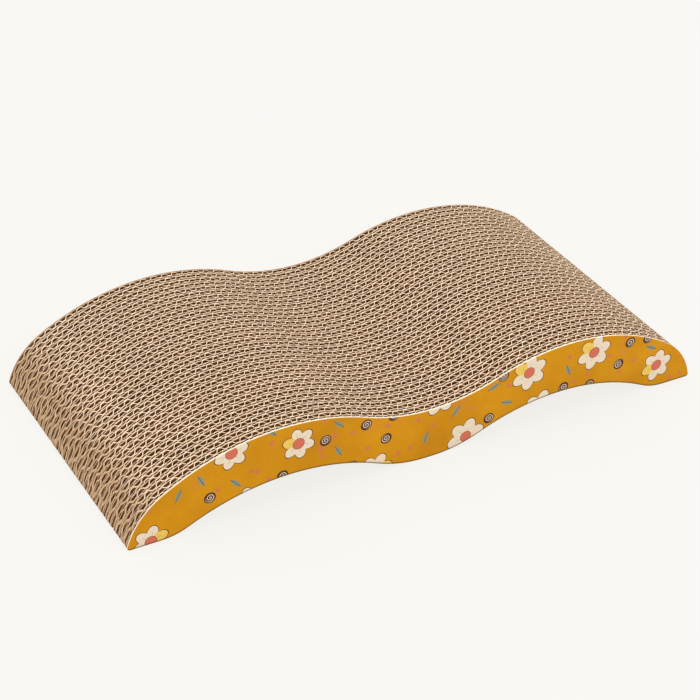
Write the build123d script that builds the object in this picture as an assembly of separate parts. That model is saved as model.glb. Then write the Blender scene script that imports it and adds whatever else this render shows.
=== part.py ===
from build123d import *
import math
import os

os.makedirs("parts", exist_ok=True)

# Overall size
length = 440.0
height = 60.0

# Top wave: two humps with a dip between them, each with a tighter shoulder down to a small nose
dip_z = 39.0
hump_x = 110.0
hump_radius = 160.0
shoulder_radius = 55.0
nose_radius = 2.0

# Underside: two arches between a middle foot and two end feet
arch_z = 21.5
middle_foot_length = 6.0
middle_radius = 92.0
end_foot_length = 21.0
end_radius = 43.0

# Double-wall board: three liners with a layer of small and a layer of large flutes between them
ply_count = 33
liner_thickness = 0.3
small_flute_height = 1.7
large_flute_height = 3.4
large_flute_pitch = 8.0
paper_thickness = 0.5
flute_phase_shares = (0.0, 0.37, 0.71)

# Printed side sheets
panel_thickness = 1.0

half_length = length / 2
nose_x = half_length - nose_radius
middle_foot_x = middle_foot_length / 2
end_foot_x = nose_x - end_foot_length
large_flute_y = 2 * liner_thickness + small_flute_height
ply_thickness = large_flute_y + large_flute_height + liner_thickness
block_width = ply_count * ply_thickness

# The dip's arc runs smoothly into the hump's arc
dip_depth = height - dip_z
dip_radius = (hump_x**2 + dip_depth**2) / (2 * dip_depth) - hump_radius

# The arch's arc runs smoothly into the arcs that come down to the feet
arch_span = end_foot_x - middle_foot_x
arch_run = arch_span / 2 + arch_z * (middle_radius - end_radius) / arch_span
arch_x = middle_foot_x + arch_run
arch_radius = (arch_run**2 + arch_z**2) / (2 * arch_z) - middle_radius


def point_towards(start, end, distance):
    run = math.dist(start, end)
    return tuple(a + (b - a) * distance / run for a, b in zip(start, end))


def half_way(start, end):
    return tuple((a + b) / 2 for a, b in zip(start, end))


def mirrored(point):
    return (-point[0], point[1])


# The upper of the two points where circles around two centres meet
def upper_meeting(left, left_radius, right, right_radius):
    run = math.dist(left, right)
    along = (run**2 + left_radius**2 - right_radius**2) / (2 * run)
    aside = math.sqrt(left_radius**2 - along**2)
    foot = point_towards(left, right, along)
    return (
        foot[0] - aside * (right[1] - left[1]) / run,
        foot[1] + aside * (right[0] - left[0]) / run,
    )


# Arc centres on the right half; the shoulder's arc runs smoothly into the hump's and the nose's
dip_centre = (0, dip_z + dip_radius)
hump_centre = (hump_x, height - hump_radius)
nose_centre = (nose_x, nose_radius)
hump_to_shoulder = hump_radius - shoulder_radius
shoulder_to_nose = shoulder_radius - nose_radius
shoulder_centre = upper_meeting(hump_centre, hump_to_shoulder, nose_centre, shoulder_to_nose)
arch_centre = (arch_x, arch_z - arch_radius)
middle_centre = (middle_foot_x, middle_radius)
end_centre = (end_foot_x, end_radius)

# Points where one curve runs into the next
dip_end = point_towards(dip_centre, hump_centre, dip_radius)
shoulder_start = point_towards(hump_centre, shoulder_centre, hump_radius)
nose_start = point_towards(shoulder_centre, nose_centre, shoulder_radius)
shoulder_middle = point_towards(shoulder_centre, half_way(shoulder_start, nose_start), shoulder_radius)
middle_end = point_towards(middle_centre, arch_centre, middle_radius)
end_start = point_towards(end_centre, arch_centre, end_radius)


def wave_outline():
    half = [
        ThreePointArc(dip_end, (hump_x, height), shoulder_start),
        ThreePointArc(shoulder_start, shoulder_middle, nose_start),
        ThreePointArc(nose_start, (half_length, nose_radius), (nose_x, 0)),
        Line((nose_x, 0), (end_foot_x, 0)),
        RadiusArc((end_foot_x, 0), end_start, end_radius),
        ThreePointArc(end_start, (arch_x, arch_z), middle_end),
        RadiusArc(middle_end, (middle_foot_x, 0), middle_radius),
    ]
    other_half = [edge.mirror(Plane.YZ) for edge in half]
    middle = [
        ThreePointArc(mirrored(dip_end), (0, dip_z), dip_end),
        Line((-middle_foot_x, 0), (middle_foot_x, 0)),
    ]
    return Wire(half + other_half + middle)


def wave_slab(thickness):
    face = Plane.XZ * Face(wave_outline())
    return extrude(face, thickness, dir=(0, 1, 0))


# Upright channels on both sides of the large fluted paper, seen from above
def flute_wires(phase_share):
    half_pitch = large_flute_pitch / 2
    wall = paper_thickness * math.hypot(half_pitch, large_flute_height) / large_flute_height
    half_base = half_pitch - wall / 2
    rise = large_flute_height * half_base / half_pitch
    front = large_flute_y
    back = large_flute_y + large_flute_height
    reach = half_length - large_flute_height
    wires = []
    for index in range(math.ceil(length / half_pitch)):
        x = (index + phase_share * 2) * half_pitch - half_length
        if abs(x) + half_base > reach:
            continue
        base, tip = (front, front + rise) if index % 2 else (back, back - rise)
        corners = [Vector(x - half_base, base), Vector(x + half_base, base), Vector(x, tip)]
        wires.append(Wire.make_polygon(corners))
    return wires


def board_ply(phase_share):
    corners = [
        Vector(-half_length, 0),
        Vector(half_length, 0),
        Vector(half_length, ply_thickness),
        Vector(-half_length, ply_thickness),
    ]
    board = extrude(Face(Wire.make_polygon(corners), flute_wires(phase_share)), height, dir=(0, 0, 1))
    return board & wave_slab(ply_thickness)


def save(piece, name, front):
    export_step(Pos(0, front, 0) * piece, f"parts/{name}.step", write_pcurves=False)


block_front = -block_width / 2
plies = [board_ply(share) for share in flute_phase_shares]
for index in range(ply_count):
    save(plies[index % len(plies)], f"ply_{index + 1:02d}", block_front + index * ply_thickness)

panel = wave_slab(panel_thickness)
save(panel, "front_panel", block_front - panel_thickness)
save(panel, "back_panel", -block_front)
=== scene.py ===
import bpy
import math
import random
from mathutils import Matrix, Vector


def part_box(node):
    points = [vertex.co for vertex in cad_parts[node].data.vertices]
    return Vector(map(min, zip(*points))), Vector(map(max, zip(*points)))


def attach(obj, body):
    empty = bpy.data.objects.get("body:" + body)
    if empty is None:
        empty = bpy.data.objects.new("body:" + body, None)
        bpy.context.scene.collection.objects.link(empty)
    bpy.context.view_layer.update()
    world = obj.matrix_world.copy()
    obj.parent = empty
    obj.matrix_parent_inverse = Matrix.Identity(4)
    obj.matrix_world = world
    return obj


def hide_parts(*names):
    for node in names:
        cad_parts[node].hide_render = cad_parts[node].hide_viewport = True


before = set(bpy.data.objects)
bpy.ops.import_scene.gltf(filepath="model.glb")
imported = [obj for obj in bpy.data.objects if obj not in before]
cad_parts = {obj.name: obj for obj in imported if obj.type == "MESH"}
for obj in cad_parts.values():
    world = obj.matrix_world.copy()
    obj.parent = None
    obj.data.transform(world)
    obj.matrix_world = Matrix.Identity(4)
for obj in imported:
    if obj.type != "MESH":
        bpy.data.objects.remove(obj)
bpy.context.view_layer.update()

print("frame loaded,", len(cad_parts), "nodes")
bpy.context.scene.view_settings.view_transform = "Standard"


# colour from screen levels of 0 to 255
def srgb(*levels):
    shares = [level / 255 for level in levels]
    linear = [share / 12.92 if share <= 0.04045 else ((share + 0.055) / 1.055) ** 2.4 for share in shares]
    return (*linear, 1.0)


def addNode(tree, kind, inputs=None, **settings):
    node = tree.nodes.new(kind)
    for name, value in settings.items():
        setattr(node, name, value)
    for key, value in (inputs or {}).items():
        if isinstance(value, bpy.types.NodeSocket):
            tree.links.new(value, node.inputs[key])
        else:
            node.inputs[key].default_value = value
    return node


def calc(tree, operation, *values):
    return addNode(tree, "ShaderNodeMath", dict(enumerate(values)), operation=operation).outputs[0]


def product(tree, first, *others):
    for other in others:
        first = calc(tree, "MULTIPLY", first, other)
    return first


def vectorCalc(tree, operation, *values):
    return addNode(tree, "ShaderNodeVectorMath", dict(enumerate(values)), operation=operation).outputs


def combine(tree, *values):
    return addNode(tree, "ShaderNodeCombineXYZ", dict(enumerate(values))).outputs[0]


def separate(tree, vector):
    return addNode(tree, "ShaderNodeSeparateXYZ", {0: vector}).outputs


def noise(tree, place, scale, detail):
    inputs = {"Vector": place, "Scale": scale, "Detail": detail}
    return addNode(tree, "ShaderNodeTexNoise", inputs).outputs[0]


# value moved from one range to another, each given as low and high
def toRange(tree, value, source, target):
    return addNode(tree, "ShaderNodeMapRange", dict(enumerate((value, *source, *target)))).outputs[0]


def attribute(tree, name):
    return addNode(tree, "ShaderNodeAttribute", attribute_name=name).outputs["Fac"]


def mixColour(tree, factor, low, high, blend="MIX"):
    node = addNode(tree, "ShaderNodeMix", {0: factor, 6: low, 7: high}, data_type="RGBA", blend_type=blend)
    return node.outputs[2]


def newGroup(name, kind, inputs, outputs):
    tree = bpy.data.node_groups.new(name, kind)
    for label, socketType in inputs.items():
        tree.interface.new_socket(label, in_out="INPUT", socket_type="NodeSocket" + socketType)
    for label, socketType in outputs.items():
        tree.interface.new_socket(label, in_out="OUTPUT", socket_type="NodeSocket" + socketType)
    return tree, tree.nodes.new("NodeGroupInput").outputs, tree.nodes.new("NodeGroupOutput").inputs


def newMaterial(name):
    material = bpy.data.materials.new(name)
    material.use_nodes = True
    tree = material.node_tree
    return material, tree, tree.nodes["Principled BSDF"].inputs


# camera, at the photographed angle
shot = {
    "place": (-0.5777, -0.93094, 0.76275),
    "yaw": -31.586,
    "pitch": 33.947,
    "roll": 3.367,
    "lens": 96.82,
    "sensor": 36,
}


def placeCamera():
    camera = bpy.data.objects.new("shotCamera", bpy.data.cameras.new("shotCamera"))
    camera.data.lens = shot["lens"]
    camera.data.sensor_width = shot["sensor"]
    turn = Matrix.Rotation(math.radians(shot["yaw"]), 4, "Z")
    tilt = Matrix.Rotation(math.radians(90 - shot["pitch"]), 4, "X")
    roll = Matrix.Rotation(math.radians(shot["roll"]), 4, "Z")
    camera.matrix_world = Matrix.Translation(shot["place"]) @ turn @ tilt @ roll
    bpy.context.collection.objects.link(camera)
    bpy.context.scene.camera = camera


placeCamera()
print("camera placed")

# fibre of paper: slow patches and short flecks
fibreLook = {
    "patchScale": 34.0,
    "patchDetail": 3.0,
    "fleckScale": 700.0,
    "fleckDetail": 4.0,
    "fleckRange": (0.3, 0.7),
    "reliefDepth": 0.0002,
}


def makeFibreGroup():
    tree, given, result = newGroup(
        "paperFibre", "ShaderNodeTree", {"Place": "Vector"}, {"Patch": "Float", "Fleck": "Float"}
    )
    patch = noise(tree, given["Place"], fibreLook["patchScale"], fibreLook["patchDetail"])
    fleck = noise(tree, given["Place"], fibreLook["fleckScale"], fibreLook["fleckDetail"])
    tree.links.new(patch, result["Patch"])
    tree.links.new(fleck, result["Fleck"])
    return tree


fibreGroup = makeFibreGroup()


def fibre(tree, place):
    outputs = addNode(tree, "ShaderNodeGroup", {"Place": place}, node_tree=fibreGroup).outputs
    return outputs["Patch"], outputs["Fleck"]


# the flecks show in the paper's colour and relief
def finishPaper(tree, shader, colour, fleck, look):
    grain = toRange(tree, fleck, fibreLook["fleckRange"], look["grain"])
    shade = addNode(tree, "ShaderNodeCombineColor", {0: grain, 1: grain, 2: grain}).outputs[0]
    tree.links.new(mixColour(tree, 1.0, colour, shade, "MULTIPLY"), shader["Base Color"])
    relief = {"Strength": look["relief"], "Distance": fibreLook["reliefDepth"], "Height": fleck}
    tree.links.new(addNode(tree, "ShaderNodeBump", relief).outputs[0], shader["Normal"])
    shader["Specular IOR Level"].default_value = look["shine"]


# raw board: pale cut edges, torn ones a little darker, and browner paper inside the flutes, darkened by
# fibre patches, a random tone and painted shade, most in the small flutes
boardLook = {
    "cut": srgb(255, 225, 192),
    "torn": srgb(206, 172, 136),
    "paper": srgb(166, 113, 66),
    # the dark brown of painted shade in the flute recesses, also reached by fibre patches and random tone
    "dark": srgb(58, 33, 8),
    "mottleAndShadeGain": 0.35,
    "staining": 0.15,
    "tornRange": (0.15, 0.6),
    "grain": (0.76, 1.22),
    "relief": 0.25,
    "rough": 0.9,
    "shine": 0.05,
}


def makeBoardMaterial():
    material, tree, shader = newMaterial("rawBoard")
    patch, fleck = fibre(tree, addNode(tree, "ShaderNodeTexCoord").outputs["Object"])
    # the inside paper is pulled towards dark by fibre patches, each sheet's random tone and its layer's
    # painted shade for the flute recesses
    mottleAndShade = calc(tree, "ADD", patch, attribute(tree, "sheetTone"))
    mottleAndShade = calc(tree, "MULTIPLY", mottleAndShade, boardLook["mottleAndShadeGain"])
    inside = mixColour(tree, mottleAndShade, boardLook["paper"], boardLook["dark"])
    stain = calc(tree, "MULTIPLY", patch, boardLook["staining"])
    edge = mixColour(tree, stain, boardLook["cut"], boardLook["paper"])
    torn = toRange(tree, attribute(tree, "tornEnd"), boardLook["tornRange"], (0.0, 1.0))
    edge = mixColour(tree, torn, edge, boardLook["torn"])
    colour = mixColour(tree, attribute(tree, "cutEdge"), inside, edge)
    finishPaper(tree, shader, colour, fleck, boardLook)
    shader["Roughness"].default_value = boardLook["rough"]
    return material


boardMaterial = makeBoardMaterial()


# one motif's cell: the place around its middle, turned at random, and two random numbers for the cell
def makeMotifGroup():
    tree, given, result = newGroup(
        "motifPlace",
        "ShaderNodeTree",
        {"Place": "Vector", "Per Metre": "Float", "Scatter": "Float"},
        {
            "Across": "Float",
            "Along": "Float",
            "Radius": "Float",
            "Angle": "Float",
            "Chance": "Float",
            "Size": "Float",
            "Middle": "Vector",
        },
    )
    cells = addNode(
        tree,
        "ShaderNodeTexVoronoi",
        {"Vector": given["Place"], "Scale": given["Per Metre"], "Randomness": given["Scatter"]},
        voronoi_dimensions="2D",
    ).outputs
    chance = addNode(tree, "ShaderNodeSeparateColor", {0: cells["Color"]}).outputs
    offset = vectorCalc(tree, "SUBTRACT", given["Place"], cells["Position"])[0]
    turn = calc(tree, "MULTIPLY", chance[1], math.tau)
    turned = {"Vector": offset, "Angle": turn}
    local = addNode(tree, "ShaderNodeVectorRotate", turned, rotation_type="Z_AXIS").outputs[0]
    axes = separate(tree, local)
    measures = {
        "Across": axes[0],
        "Along": axes[1],
        "Radius": vectorCalc(tree, "LENGTH", local)["Value"],
        "Angle": calc(tree, "ARCTAN2", axes[1], axes[0]),
        "Chance": chance[0],
        "Size": chance[2],
        "Middle": cells["Position"],
    }
    for label, value in measures.items():
        tree.links.new(value, result[label])
    return tree


motifGroup = makeMotifGroup()

# motifs of each kind: cells to a metre, how scattered, share left empty, where the cells start,
# and how far a motif reaches from its middle
motifs = {
    "bloom": {"perMetre": 18.0, "scatter": 0.6, "empty": 0.0, "start": (0.0, 0.013), "reach": 0.01273},
    "sprig": {"perMetre": 26.0, "scatter": 0.85, "empty": 0.0, "start": (0.19, 0.05), "reach": 0.0062},
    "leaf": {"perMetre": 44.0, "scatter": 0.8, "empty": 0.2, "start": (0.31, 0.02), "reach": 0.005},
    "button": {"perMetre": 38.0, "scatter": 0.8, "empty": 0.4, "start": (0.57, 0.07), "reach": 0.0042},
    "dot": {"perMetre": 84.0, "scatter": 0.9, "empty": 0.4, "start": (0.83, 0.11), "reach": 0.0024},
}


def motifStart(kind, shift):
    startX, startZ = motifs[kind]["start"]
    return (shift + startX, startZ, 0)


def motifCell(tree, kind, place, shift):
    sizes = motifs[kind]
    moved = vectorCalc(tree, "ADD", place, motifStart(kind, shift))[0]
    inputs = {"Place": moved, "Per Metre": sizes["perMetre"], "Scatter": sizes["scatter"]}
    return addNode(tree, "ShaderNodeGroup", inputs, node_tree=motifGroup).outputs


def isFilled(tree, kind, cell):
    return calc(tree, "GREATER_THAN", cell["Chance"], motifs[kind]["empty"])


# a motif's cell and whether it is drawn: whole motifs, by their middle, keep clear of other kinds
def clearCell(tree, kind, place, shift, others):
    cell = motifCell(tree, kind, place, shift)
    shown = isFilled(tree, kind, cell)
    middle = vectorCalc(tree, "SUBTRACT", cell["Middle"], motifStart(kind, shift))[0]
    for other in others:
        nearest = motifCell(tree, other, middle, shift)
        near = calc(tree, "LESS_THAN", nearest["Radius"], motifs[kind]["reach"] + motifs[other]["reach"])
        taken = calc(tree, "MULTIPLY", near, isFilled(tree, other, nearest))
        shown = calc(tree, "MULTIPLY", shown, calc(tree, "SUBTRACT", 1.0, taken))
    return cell, shown


# printed side sheets: mustard ground with scattered blossoms, sprigs, leaves, buttons and dots
printLook = {
    "ground": srgb(226, 158, 12),
    "groundDeep": srgb(188, 122, 2),
    "petal": srgb(236, 218, 192),
    "petalSun": srgb(238, 200, 96),
    "heart": srgb(214, 112, 88),
    "line": srgb(92, 62, 38),
    "leaf": srgb(142, 148, 122),
    "button": srgb(88, 54, 38),
    "dot": srgb(212, 116, 78),
    "core": srgb(246, 233, 208),
    "coreBack": srgb(150, 114, 78),
    "foot": srgb(104, 72, 30),
    "lineWidth": 0.00032,
    "skin": 0.00012,
    "lowEdgeRise": (0.0004, 0.0016),
    "lowEdgeInk": (0.85, 0.0),
    "grain": (0.93, 1.04),
    "relief": 0.12,
    "rough": (0.55, 0.7),
    "shine": 0.12,
}

sprigShape = {"ringTurn": 3600.0, "rays": 7.0, "ringCut": 0.25, "ink": 0.4}


# faint rings broken by rays
def drawSprigs(tree, colour, place, shift):
    cell, shown = clearCell(tree, "sprig", place, shift, ["bloom"])
    ring = calc(tree, "COSINE", calc(tree, "MULTIPLY", cell["Radius"], sprigShape["ringTurn"]))
    rays = calc(tree, "COSINE", calc(tree, "MULTIPLY", cell["Angle"], sprigShape["rays"]))
    drawn = calc(tree, "GREATER_THAN", calc(tree, "MULTIPLY", ring, rays), sprigShape["ringCut"])
    inside = calc(tree, "LESS_THAN", cell["Radius"], motifs["sprig"]["reach"])
    mask = product(tree, drawn, inside, shown, sprigShape["ink"])
    return mixColour(tree, mask, colour, printLook["dot"])


leafShape = {"halfLength": 0.0052, "halfWidth": 0.0019, "veinWidth": 0.000192}


def drawLeaves(tree, colour, place, shift):
    cell, shown = clearCell(tree, "leaf", place, shift, ["bloom", "button"])
    aside = calc(tree, "ABSOLUTE", cell["Along"])
    share = calc(tree, "POWER", calc(tree, "DIVIDE", cell["Across"], leafShape["halfLength"]), 2.0)
    bulge = calc(tree, "MULTIPLY_ADD", share, -leafShape["halfWidth"], leafShape["halfWidth"])
    mask = calc(tree, "MULTIPLY", calc(tree, "LESS_THAN", aside, bulge), shown)
    colour = mixColour(tree, mask, colour, printLook["leaf"])
    vein = calc(tree, "LESS_THAN", aside, leafShape["veinWidth"])
    return mixColour(tree, calc(tree, "MULTIPLY", vein, mask), colour, printLook["line"])


buttonShape = {"swirlTurn": 3800.0, "swirlCut": 0.55, "swirlReach": 0.0033}


# dark discs with a pale swirl
def drawButtons(tree, colour, place, shift):
    cell, shown = clearCell(tree, "button", place, shift, ["bloom"])
    disc = calc(tree, "LESS_THAN", cell["Radius"], motifs["button"]["reach"])
    colour = mixColour(tree, calc(tree, "MULTIPLY", disc, shown), colour, printLook["button"])
    swirl = calc(tree, "MULTIPLY_ADD", cell["Radius"], buttonShape["swirlTurn"], cell["Angle"])
    drawn = calc(tree, "GREATER_THAN", calc(tree, "SINE", swirl), buttonShape["swirlCut"])
    inner = calc(tree, "LESS_THAN", cell["Radius"], buttonShape["swirlReach"])
    return mixColour(tree, product(tree, drawn, inner, shown), colour, printLook["petal"])


dotShape = {"radius": 0.0018, "wobble": 0.0006, "lobes": 5.0, "ink": 0.85}


def drawDots(tree, colour, place, shift):
    cell, shown = clearCell(tree, "dot", place, shift, ["bloom", "button", "leaf"])
    lobe = calc(tree, "COSINE", calc(tree, "MULTIPLY", cell["Angle"], dotShape["lobes"]))
    reach = calc(tree, "MULTIPLY_ADD", lobe, dotShape["wobble"], dotShape["radius"])
    inside = calc(tree, "LESS_THAN", cell["Radius"], reach)
    return mixColour(tree, product(tree, inside, shown, dotShape["ink"]), colour, printLook["dot"])


blossomShape = {
    "radius": 0.0134,
    "sizeLeast": 0.85,
    "sizeSpread": 0.25,
    "notch": 0.34,
    "halfPetals": 3.0,
    "sunnyFrom": 2.5,
    "heart": 0.00402,
    "spokeReach": 0.007236,
    "spokeWidth": 0.07,
    "spokeInk": 0.6,
}


# petals, one of them yellow, with a coral heart and a fine drawn line
def drawBlossoms(tree, colour, place, shift):
    bloom = motifCell(tree, "bloom", place, shift)
    line = printLook["lineWidth"]
    heart = blossomShape["heart"]
    notch = blossomShape["notch"]
    radius = bloom["Radius"]
    size = calc(tree, "MULTIPLY_ADD", bloom["Size"], blossomShape["sizeSpread"], blossomShape["sizeLeast"])
    petals = calc(tree, "MULTIPLY", bloom["Angle"], blossomShape["halfPetals"])
    wave = calc(tree, "ABSOLUTE", calc(tree, "COSINE", petals))
    reach = product(tree, calc(tree, "MULTIPLY_ADD", wave, notch, 1 - notch), blossomShape["radius"], size)
    gap = calc(tree, "SUBTRACT", radius, reach)
    colour = mixColour(tree, calc(tree, "LESS_THAN", gap, line), colour, printLook["line"])
    sunny = calc(tree, "GREATER_THAN", calc(tree, "ABSOLUTE", bloom["Angle"]), blossomShape["sunnyFrom"])
    petal = mixColour(tree, sunny, printLook["petal"], printLook["petalSun"])
    colour = mixColour(tree, calc(tree, "LESS_THAN", gap, -line), colour, petal)
    spoke = calc(tree, "ABSOLUTE", calc(tree, "SINE", petals))
    spoke = calc(tree, "LESS_THAN", spoke, blossomShape["spokeWidth"])
    inner = calc(tree, "LESS_THAN", radius, blossomShape["spokeReach"])
    mask = product(tree, spoke, inner, blossomShape["spokeInk"])
    colour = mixColour(tree, mask, colour, printLook["line"])
    colour = mixColour(tree, calc(tree, "LESS_THAN", radius, heart + line), colour, printLook["line"])
    return mixColour(tree, calc(tree, "LESS_THAN", radius, heart), colour, printLook["heart"])


def makePrintMaterial(name, outerSide, shift, core):
    material, tree, shader = newMaterial(name)
    spot = addNode(tree, "ShaderNodeTexCoord").outputs["Object"]
    axes = separate(tree, spot)
    place = combine(tree, axes[0], axes[2])
    patch, fleck = fibre(tree, spot)
    colour = mixColour(tree, patch, printLook["ground"], printLook["groundDeep"])
    for draw in (drawSprigs, drawLeaves, drawButtons, drawDots, drawBlossoms):
        colour = draw(tree, colour, place, shift)

    # the print darkens towards its lower edge, and the print is only a skin, so cut edges show the core
    rise = calc(tree, "SUBTRACT", axes[2], attribute(tree, "edgeLow"))
    lowEdgeDark = toRange(tree, rise, printLook["lowEdgeRise"], printLook["lowEdgeInk"])
    colour = mixColour(tree, lowEdgeDark, colour, printLook["foot"])
    depth = calc(tree, "ABSOLUTE", calc(tree, "SUBTRACT", axes[1], outerSide))
    colour = mixColour(tree, calc(tree, "GREATER_THAN", depth, printLook["skin"]), colour, printLook[core])
    finishPaper(tree, shader, colour, fleck, printLook)
    rough = toRange(tree, fleck, fibreLook["fleckRange"], printLook["rough"])
    tree.links.new(rough, shader["Roughness"])
    return material


# how a standing sheet is bent, worn and cut; around is the number of points round it
sheetWork = {
    "around": 5,
    "endPower": 12.0,
    "swayScale": 30.0,
    "swayDetail": 1.0,
    "swayTurn": 2.2,
    "tearScale": 520.0,
    "tearDetail": 1.0,
    "endMargin": 0.00005,
    "rayStart": 1.0,
    "rayLength": 3.0,
    "frayScale": 420.0,
    "frayDetail": 2.0,
    "frayPerHeight": 80.0,
    "lastShare": 0.4999,
    "toneTurn": 12.99,
    "toneSpread": 437.6,
    "mergeDistance": 0.000002,
}


def storeValue(tree, mesh, name, value, domain):
    inputs = {"Geometry": mesh, "Name": name, "Value": value}
    settings = {"data_type": "FLOAT", "domain": domain}
    return addNode(tree, "GeometryNodeStoreNamedAttribute", inputs, **settings).outputs[0]


# a sheet of paper standing on edge, flat or fluted, cut to the outline of the side sheet
def makeSheetGroup():
    tree, given, result = newGroup(
        "standingSheet",
        "GeometryNodeTree",
        {
            "Outline": "Geometry",
            "Outline Y": "Float",
            "Length": "Float",
            "Points": "Int",
            "Gather": "Float",
            "Middle": "Float",
            "Swing": "Float",
            "Pitch": "Float",
            "Phase": "Float",
            "Roundness": "Float",
            "Thickness": "Float",
            "Drift": "Float",
            "Ragged": "Float",
            "Burr": "Float",
            "Tear": "Float",
            "Shade": "Float",
            "Seed": "Float",
        },
        {"Sheet": "Geometry"},
    )
    around = sheetWork["around"]
    points = given["Points"]
    counts = {"Vertices X": points, "Vertices Y": around}
    mesh = addNode(tree, "GeometryNodeMeshGrid", counts).outputs["Mesh"]
    split = {0: addNode(tree, "GeometryNodeInputIndex").outputs[0], 1: around}
    column = addNode(tree, "FunctionNodeIntegerMath", split, operation="MODULO").outputs[0]
    row = addNode(tree, "FunctionNodeIntegerMath", split, operation="DIVIDE_FLOOR").outputs[0]

    # whether a point is in one of two neighbouring columns
    def inColumns(first):
        return calc(tree, "COMPARE", column, first + 0.5, 0.6)

    # places along the sheet, even for flutes and gathered towards both ends for flat paper
    half = calc(tree, "MULTIPLY", given["Length"], 0.5)
    share = calc(tree, "DIVIDE", row, calc(tree, "SUBTRACT", points, 1.0))
    share = calc(tree, "SUBTRACT", share, 0.5)
    even = calc(tree, "MULTIPLY", share, given["Length"])
    gathered = calc(tree, "MULTIPLY", calc(tree, "SINE", calc(tree, "MULTIPLY", share, math.pi)), half)
    along = calc(tree, "MULTIPLY_ADD", calc(tree, "SUBTRACT", gathered, even), given["Gather"], even)

    # crushed ends: the fluted paper thickens and swings less
    steep = calc(tree, "DIVIDE", calc(tree, "ABSOLUTE", along), half)
    steep = calc(tree, "POWER", steep, sheetWork["endPower"])
    burr = calc(tree, "MULTIPLY_ADD", steep, given["Burr"], 1.0)
    thick = calc(tree, "MULTIPLY", given["Thickness"], burr)
    spare = calc(tree, "SUBTRACT", given["Thickness"], thick)
    swing = calc(tree, "MAXIMUM", calc(tree, "MULTIPLY_ADD", spare, 0.5, given["Swing"]), 0.0)

    # flute wave, squarer where it is less round, and its slope for an even paper thickness
    turn = calc(tree, "ADD", calc(tree, "DIVIDE", along, given["Pitch"]), given["Phase"])
    turn = calc(tree, "MULTIPLY", turn, math.tau)
    slow = combine(tree, along, given["Seed"])
    sway = noise(tree, slow, sheetWork["swayScale"], sheetWork["swayDetail"])
    sway = calc(tree, "SUBTRACT", sway, 0.5)
    turn = calc(tree, "MULTIPLY_ADD", sway, sheetWork["swayTurn"], turn)
    sine = calc(tree, "SINE", turn)
    cosine = calc(tree, "COSINE", turn)
    bend = calc(tree, "MULTIPLY", cosine, given["Roundness"])
    square = calc(tree, "MULTIPLY_ADD", sine, sine, calc(tree, "MULTIPLY", cosine, bend))
    wave = calc(tree, "DIVIDE", sine, calc(tree, "SQRT", square))
    rate = calc(tree, "DIVIDE", bend, calc(tree, "POWER", square, 1.5))
    climb = calc(tree, "DIVIDE", calc(tree, "MULTIPLY", swing, math.tau), given["Pitch"])
    slope = calc(tree, "MULTIPLY", rate, climb)
    run = calc(tree, "SQRT", calc(tree, "MULTIPLY_ADD", slope, slope, 1.0))
    side = calc(tree, "MULTIPLY_ADD", inColumns(2), 2.0, -1.0)
    step = calc(tree, "DIVIDE", product(tree, side, 0.5, thick), run)
    inner = calc(tree, "SUBTRACT", half, sheetWork["endMargin"])
    x = calc(tree, "SUBTRACT", along, calc(tree, "MULTIPLY", slope, step))
    x = calc(tree, "MAXIMUM", calc(tree, "MINIMUM", x, inner), calc(tree, "MULTIPLY", inner, -1.0))
    y = calc(tree, "MULTIPLY_ADD", swing, wave, calc(tree, "ADD", given["Middle"], step))

    # torn ends wander within their own layer
    torn = noise(tree, slow, sheetWork["tearScale"], sheetWork["tearDetail"])
    torn = calc(tree, "SUBTRACT", torn, 0.5)
    torn = calc(tree, "MULTIPLY", torn, calc(tree, "MULTIPLY", steep, given["Tear"]))
    reach = calc(tree, "MULTIPLY_ADD", given["Thickness"], 0.5, given["Swing"])
    y = calc(tree, "MINIMUM", calc(tree, "ADD", y, torn), calc(tree, "ADD", given["Middle"], reach))
    y = calc(tree, "MAXIMUM", y, calc(tree, "SUBTRACT", given["Middle"], reach))
    y = calc(tree, "MULTIPLY_ADD", sway, given["Drift"], y)

    # height of the outline, met by a ray going up (1) or down (-1)
    def heightAt(direction):
        ray = {
            "Target Geometry": given["Outline"],
            "Source Position": combine(tree, x, given["Outline Y"], -direction * sheetWork["rayStart"]),
            "Ray Direction": (0, 0, direction),
            "Ray Length": sheetWork["rayLength"],
        }
        hit = addNode(tree, "GeometryNodeRaycast", ray).outputs["Hit Position"]
        return separate(tree, hit)[2]

    # ragged cuts, less so where the sheet is low
    top = heightAt(-1.0)
    low = heightAt(1.0)
    fine = combine(tree, along, side, given["Seed"])
    fray = noise(tree, fine, sheetWork["frayScale"], sheetWork["frayDetail"])
    room = calc(tree, "MULTIPLY", calc(tree, "SUBTRACT", top, low), sheetWork["frayPerHeight"])
    fray = product(tree, fray, given["Ragged"], calc(tree, "MINIMUM", room, 1.0))

    # both ends close at mid height
    upper = inColumns(1)
    last = calc(tree, "GREATER_THAN", calc(tree, "ABSOLUTE", share), sheetWork["lastShare"])
    upper = calc(tree, "MULTIPLY_ADD", calc(tree, "SUBTRACT", 0.5, upper), last, upper)
    topCut = calc(tree, "SUBTRACT", top, fray)
    lowCut = calc(tree, "ADD", low, fray)
    z = calc(tree, "MULTIPLY_ADD", calc(tree, "SUBTRACT", topCut, lowCut), upper, lowCut)

    # a tone for each sheet, at random by its seed, plus its layer's painted shade
    toneAndShade = calc(tree, "SINE", calc(tree, "MULTIPLY", given["Seed"], sheetWork["toneTurn"]))
    toneAndShade = calc(tree, "FRACT", calc(tree, "MULTIPLY", toneAndShade, sheetWork["toneSpread"]))
    toneAndShade = calc(tree, "ADD", toneAndShade, given["Shade"])

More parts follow.
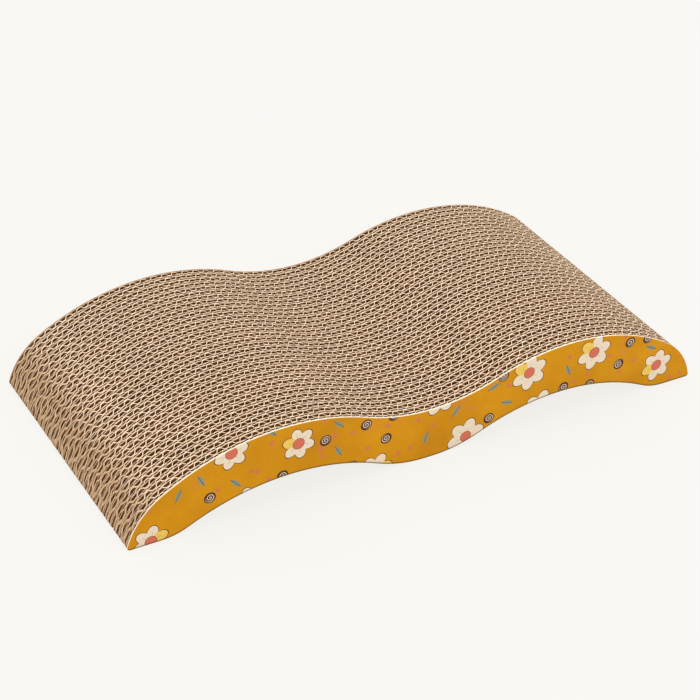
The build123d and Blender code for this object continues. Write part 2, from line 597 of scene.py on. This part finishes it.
    for label, value in (("sheetSide", side), ("edgeLow", low), ("sheetTone", toneAndShade), ("tornEnd", steep)):
        mesh = storeValue(tree, mesh, label, value, "POINT")
    spot = combine(tree, x, y, z)
    mesh = addNode(tree, "GeometryNodeSetPosition", {"Geometry": mesh, "Position": spot}).outputs[0]
    named = addNode(tree, "GeometryNodeInputNamedAttribute", {"Name": "sheetSide"}, data_type="FLOAT")
    cut = calc(tree, "SUBTRACT", 1.0, calc(tree, "ABSOLUTE", named.outputs[0]))
    mesh = storeValue(tree, mesh, "cutEdge", cut, "FACE")
    mesh = addNode(tree, "GeometryNodeRemoveAttribute", {"Geometry": mesh, "Name": "sheetSide"}).outputs[0]
    merge = {"Geometry": mesh, "Distance": sheetWork["mergeDistance"]}
    mesh = addNode(tree, "GeometryNodeMergeByDistance", merge).outputs[0]
    tree.links.new(mesh, result["Sheet"])
    return tree


sheetGroup = makeSheetGroup()

# inputs of a sheet with no flutes
flatSheet = {"Gather": 1.0, "Pitch": 1.0, "Roundness": 1.0}


def finishGroup(tree, geometry, material, result):
    real = addNode(tree, "GeometryNodeRealizeInstances", {0: geometry}).outputs[0]
    done = addNode(tree, "GeometryNodeSetMaterial", {"Geometry": real, "Material": material}).outputs[0]
    tree.links.new(done, result)


# one ply of double-wall board, front to back: liner, small flutes, liner, large flutes, liner
board = {
    "liner": 0.0003,
    "middleLiner": 0.00042,
    "smallHeight": 0.00164,
    "largeHeight": 0.00334,
    "smallPaper": 0.00034,
    "largePaper": 0.00046,
    "smallRound": 0.12,
    "largeRound": 0.18,
    "smallPitch": 0.0062,
    "largePitch": 0.008,
    "smallSpread": (0.97, 1.03),
    "largeSpread": (0.985, 1.015),
    "drift": 0.0003,
    "ragged": 0.0001,
    "burr": 2.2,
    "tear": 0.003,
    "seed": 11,
    "plySeed": 1.7,
    "layerSeed": 0.37,
}

# each layer's depth, flutes if it has any, points along it and how much painted shade darkens its paper,
# most in the small flutes
layers = [
    ("Liner", None, 220, 0.0),
    ("Small Height", "Small", 1400, 1.3),
    ("Middle Liner", None, 220, 1.3),
    ("Large Height", "Large", 1900, 0.2),
    ("Liner", None, 220, 0.0),
]


def makePlyGroup():
    tree, given, result = newGroup(
        "boardPly",
        "GeometryNodeTree",
        {
            "Outline": "Object",
            "Outline Y": "Float",
            "Length": "Float",
            "Front": "Float",
            "Liner": "Float",
            "Middle Liner": "Float",
            "Small Height": "Float",
            "Large Height": "Float",
            "Small Paper": "Float",
            "Large Paper": "Float",
            "Small Round": "Float",
            "Large Round": "Float",
            "Small Pitch": "Float",
            "Large Pitch": "Float",
            "Small Phase": "Float",
            "Large Phase": "Float",
            "Drift": "Float",
            "Ragged": "Float",
            "Burr": "Float",
            "Tear": "Float",
            "Seed": "Float",
            "Finish": "Material",
        },
        {"Ply": "Geometry"},
    )
    outline = addNode(tree, "GeometryNodeObjectInfo", {"Object": given["Outline"]}).outputs["Geometry"]
    join = addNode(tree, "GeometryNodeJoinGeometry")
    front = given["Front"]
    for number, (depth, flute, points, shade) in enumerate(layers):
        sheet = {
            "Outline": outline,
            "Middle": calc(tree, "MULTIPLY_ADD", given[depth], 0.5, front),
            "Seed": calc(tree, "ADD", given["Seed"], number * board["layerSeed"]),
            "Points": points,
            "Shade": shade,
        }
        for label in ("Outline Y", "Length", "Drift", "Ragged"):
            sheet[label] = given[label]
        if flute:
            paper = given[flute + " Paper"]
            sheet["Thickness"] = paper
            sheet["Swing"] = calc(tree, "MULTIPLY", calc(tree, "SUBTRACT", given[depth], paper), 0.5)
            sheet["Pitch"] = given[flute + " Pitch"]
            sheet["Phase"] = given[flute + " Phase"]
            sheet["Roundness"] = given[flute + " Round"]
            sheet["Burr"] = given["Burr"]
            sheet["Tear"] = given["Tear"]
        else:
            sheet["Thickness"] = given[depth]
            sheet.update(flatSheet)
        node = addNode(tree, "GeometryNodeGroup", sheet, node_tree=sheetGroup)
        tree.links.new(node.outputs[0], join.inputs[0])
        front = calc(tree, "ADD", front, given[depth])
    finishGroup(tree, join.outputs[0], given["Finish"], result["Ply"])
    return tree


plyGroup = makePlyGroup()


# a piece grown by a node group and kept as a plain mesh
def grow(name, group, values):
    piece = bpy.data.objects.new(name, bpy.data.meshes.new(name))
    bpy.context.collection.objects.link(piece)
    modifier = piece.modifiers.new("grow", "NODES")
    modifier.node_group = group
    keys = {item.name: item.identifier for item in group.interface.items_tree if item.in_out == "INPUT"}
    for label, value in values.items():
        modifier[keys[label]] = value
    bpy.context.view_layer.update()
    mesh = bpy.data.meshes.new_from_object(piece.evaluated_get(bpy.context.evaluated_depsgraph_get()))
    piece.modifiers.remove(modifier)
    piece.data = mesh
    mesh.name = name
    return piece


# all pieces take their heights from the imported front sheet
panelLow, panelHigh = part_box("front_panel")
outlineValues = {
    "Outline": bpy.data.objects["front_panel"],
    "Outline Y": (panelLow[1] + panelHigh[1]) / 2,
    "Length": panelHigh[0] - panelLow[0],
}


def makePlies():
    dice = random.Random(board["seed"])
    names = sorted(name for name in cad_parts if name.startswith("ply_"))
    for number, name in enumerate(names):
        values = {
            "Front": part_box(name)[0][1],
            "Liner": board["liner"],
            "Middle Liner": board["middleLiner"],
            "Small Height": board["smallHeight"],
            "Large Height": board["largeHeight"],
            "Small Paper": board["smallPaper"],
            "Large Paper": board["largePaper"],
            "Small Round": board["smallRound"],
            "Large Round": board["largeRound"],
            "Small Pitch": board["smallPitch"] * dice.uniform(*board["smallSpread"]),
            "Large Pitch": board["largePitch"] * dice.uniform(*board["largeSpread"]),
            "Small Phase": dice.random(),
            "Large Phase": dice.random(),
            "Drift": board["drift"],
            "Ragged": board["ragged"],
            "Burr": board["burr"],
            "Tear": board["tear"],
            "Seed": board["plySeed"] * number + dice.random(),
            "Finish": boardMaterial,
        }
        piece = grow("board_" + name, plyGroup, {**outlineValues, **values})
        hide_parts(name)
        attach(piece, "root")
    print("plies made,", len(names), "of", len(piece.data.polygons), "faces")


makePlies()

panelCut = {"Points": 420, "Ragged": 0.0001}

# the printed side (0 front, 1 back), the design's shift, the cut edge's colour, and a seed for its fray
panels = {
    "front_panel": {"side": 0, "shift": 0.0, "core": "core", "seed": 3.1},
    "back_panel": {"side": 1, "shift": 0.43, "core": "coreBack", "seed": 4.1},
}


def makePanelGroup():
    tree, given, result = newGroup(
        "sidePanel",
        "GeometryNodeTree",
        {
            "Outline": "Object",
            "Outline Y": "Float",
            "Length": "Float",
            "Middle": "Float",
            "Thickness": "Float",
            "Seed": "Float",
            "Finish": "Material",
        },
        {"Panel": "Geometry"},
    )
    outline = addNode(tree, "GeometryNodeObjectInfo", {"Object": given["Outline"]}).outputs["Geometry"]
    sheet = {"Outline": outline, **panelCut, **flatSheet}
    for label in ("Outline Y", "Length", "Middle", "Thickness", "Seed"):
        sheet[label] = given[label]
    node = addNode(tree, "GeometryNodeGroup", sheet, node_tree=sheetGroup)
    finishGroup(tree, node.outputs[0], given["Finish"], result["Panel"])
    return tree


panelGroup = makePanelGroup()


def makePanels():
    for name, panel in panels.items():
        low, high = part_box(name)
        outer = (low, high)[panel["side"]][1]
        values = {
            "Middle": (low[1] + high[1]) / 2,
            "Thickness": high[1] - low[1],
            "Seed": panel["seed"],
            "Finish": makePrintMaterial("printed_" + name, outer, panel["shift"], panel["core"]),
        }
        piece = grow("printed_" + name, panelGroup, {**outlineValues, **values})
        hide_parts(name)
        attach(piece, "root")
    print("side sheets made")


makePanels()

# pale floor and soft light
studio = {
    "back": srgb(249, 247, 243),
    "glow": 0.885,
    "bounce": 0.1,
    "plainBounce": 0.75,
    "world": 1.03,
    "floorReach": 9,
}
lights = {
    "keyLight": {"place": (0.2, 0.1, 1.9), "size": 1.6, "power": 9.0},
    "fillLight": {"place": (0.3, -1.8, 1.0), "size": 1.4, "power": 3.0},
}


# whether the camera sees it, straight or in a reflection
def isSeen(tree):
    path = addNode(tree, "ShaderNodeLightPath").outputs
    mirrored = calc(tree, "MAXIMUM", path["Is Glossy Ray"], path["Is Transmission Ray"])
    return calc(tree, "MAXIMUM", path["Is Camera Ray"], mirrored)


def makeFloor():
    reach = studio["floorReach"]
    mesh = bpy.data.meshes.new("floor")
    corners = [(-reach, -reach, 0), (reach, -reach, 0), (reach, reach, 0), (-reach, reach, 0)]
    mesh.from_pydata(corners, [], [(0, 1, 2, 3)])
    floor = bpy.data.objects.new("floor", mesh)
    bpy.context.collection.objects.link(floor)
    material, tree = newMaterial("paleFloor")[:2]

    def matte(share):
        colour = (*[level * share for level in studio["back"][:3]], 1)
        return addNode(tree, "ShaderNodeBsdfDiffuse", {"Color": colour}).outputs[0]

    pale = {"Color": studio["back"], "Strength": studio["glow"]}
    glow = addNode(tree, "ShaderNodeEmission", pale).outputs[0]
    both = addNode(tree, "ShaderNodeAddShader", {0: glow, 1: matte(studio["bounce"])}).outputs[0]
    shaders = {0: isSeen(tree), 1: matte(studio["plainBounce"]), 2: both}
    mix = addNode(tree, "ShaderNodeMixShader", shaders).outputs[0]
    tree.links.new(mix, tree.nodes["Material Output"].inputs["Surface"])
    mesh.materials.append(material)


def makeLight(name, place, size, power):
    lamp = bpy.data.lights.new(name, "AREA")
    lamp.size = size
    lamp.energy = power
    holder = bpy.data.objects.new(name, lamp)
    holder.location = place
    holder.rotation_euler = Vector(place).to_track_quat("Z", "Y").to_euler()
    bpy.context.collection.objects.link(holder)


def makeWorld():
    world = bpy.data.worlds.new("softRoom")
    bpy.context.scene.world = world
    world.use_nodes = True
    tree = world.node_tree
    white = {"Color": (1, 1, 1, 1), "Strength": studio["world"]}
    light = addNode(tree, "ShaderNodeBackground", white).outputs[0]
    pale = addNode(tree, "ShaderNodeBackground", {"Color": studio["back"], "Strength": 1.0}).outputs[0]
    mix = addNode(tree, "ShaderNodeMixShader", {0: isSeen(tree), 1: light, 2: pale}).outputs[0]
    tree.links.new(mix, tree.nodes["World Output"].inputs["Surface"])


makeFloor()
makeWorld()
for name, lamp in lights.items():
    makeLight(name, **lamp)
print("studio ready")
